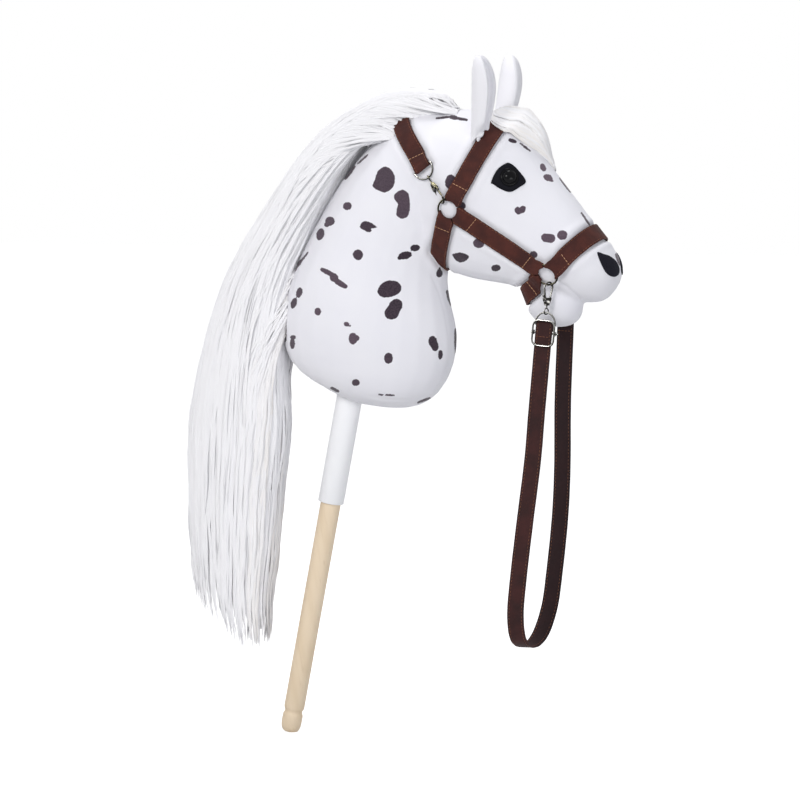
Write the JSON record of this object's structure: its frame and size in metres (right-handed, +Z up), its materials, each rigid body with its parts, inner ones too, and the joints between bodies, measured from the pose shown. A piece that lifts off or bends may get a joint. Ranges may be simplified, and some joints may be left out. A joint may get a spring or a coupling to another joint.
{
  "type": "hobby horse",
  "caption": "Toy hobby horse: a stuffed plush horse head and neck with yarn mane, webbing halter and clip-on reins, on a removable turned wooden stick.",
  "frame": {"origin": "centre of the flat lower end of the stick", "axes": "+X the way the horse looks, +Y to the horse's left, +Z up; the stick leans 10.6 degrees toward +X as it rises"},
  "size_m": [0.4764, 0.135, 0.7342],
  "materials": {
    "plush_white": "soft short pile",
    "yarn_white": "loose yarn",
    "halter_web": "woven webbing",
    "rein_web": "woven webbing",
    "steel": "nickel plated",
    "pine": "bare sanded",
    "white_plastic": "satin",
    "black_felt": "felt",
    "black_gloss": "polished"
  },
  "bodies": {
    "stick": {"stick": "pine"},
    "horse": {"socket_tube": "white_plastic", "tube_cap": "white_plastic", "neck": "plush_white", "head": "plush_white", "chin": "plush_white", "ear_right": "plush_white", "ear_left": "plush_white", "mane": "yarn_white", "forelock": "yarn_white", "eye_patch_right": "black_felt", "eye_patch_left": "black_felt", "eye_right": "black_gloss", "eye_left": "black_gloss", "eye_washer_right": "white_plastic", "eye_washer_left": "white_plastic", "nostril_right": "black_felt", "nostril_left": "black_felt", "cheek_ring_right": "steel", "cheek_ring_left": "steel", "muzzle_ring_right": "steel", "muzzle_ring_left": "steel", "crown_strap": "halter_web", "browband": "halter_web", "throat_strap": "halter_web", "cheek_strap_right": "halter_web", "cheek_strap_left": "halter_web", "noseband": "halter_web", "chin_strap": "halter_web", "crown_dee": "steel", "throat_claw": "steel", "throat_swivel_eye": "steel", "throat_gate_pin": "steel"},
    "throat_gate": {"throat_gate": "steel"},
    "reins": {"swivel_eye_right": "steel", "rein_dee_right": "steel", "swivel_eye_left": "steel", "rein_dee_left": "steel", "rein_strap": "rein_web"},
    "right_claw": {"claw_right": "steel", "gate_pin_right": "steel"},
    "left_claw": {"claw_left": "steel", "gate_pin_left": "steel"},
    "right_gate": {"gate_right": "steel"},
    "left_gate": {"gate_left": "steel"},
    "adjuster": {"slide_frame": "steel", "slide_bar": "steel"}
  },
  "joints": [
    {"name": "head_slide", "type": "slide", "parent": "stick", "child": "horse", "axis": [0.184, 0, 0.9829], "range_m": [0, 0.28]},
    {"name": "throat_gate_hinge", "type": "hinge", "parent": "horse", "child": "throat_gate", "pos_m": [0.18131, -0.05537, 0.5962], "axis": [0.7223, 0.5742, 0.3855], "range_deg": [0, 20], "stiffness_Nm_per_rad": 0.01, "springref_deg": -11.46},
    {"name": "rein_swing", "type": "hinge", "parent": "horse", "child": "reins", "pos_m": [0.29896, 0, 0.49489], "axis": [0, 1, 0], "range_deg": [-24, 20]},
    {"name": "right_swivel", "type": "hinge", "parent": "reins", "child": "right_claw", "pos_m": [0.29896, -0.0378, 0.49489], "axis": [0.0872, 0, 0.9962], "range_deg": [-10, 40]},
    {"name": "left_swivel", "type": "hinge", "parent": "reins", "child": "left_claw", "pos_m": [0.29896, 0.0378, 0.49489], "axis": [0.0332, 0, 0.9995], "range_deg": [-40, 10]},
    {"name": "right_gate_hinge", "type": "hinge", "parent": "right_claw", "child": "right_gate", "pos_m": [0.29584, -0.0417, 0.48011], "axis": [-0.9029, 0.4226, 0.079], "range_deg": [0, 20], "stiffness_Nm_per_rad": 0.01, "springref_deg": -11.46},
    {"name": "left_gate_hinge", "type": "hinge", "parent": "left_claw", "child": "left_gate", "pos_m": [0.29664, 0.0417, 0.47996], "axis": [0.9058, 0.4226, -0.03], "range_deg": [0, 20], "stiffness_Nm_per_rad": 0.01, "springref_deg": -11.46},
    {"name": "adjuster_slide", "type": "slide", "parent": "reins", "child": "adjuster", "axis": [-0.0872, 0, -0.9962], "range_m": [0, 0.06]}
  ]
}
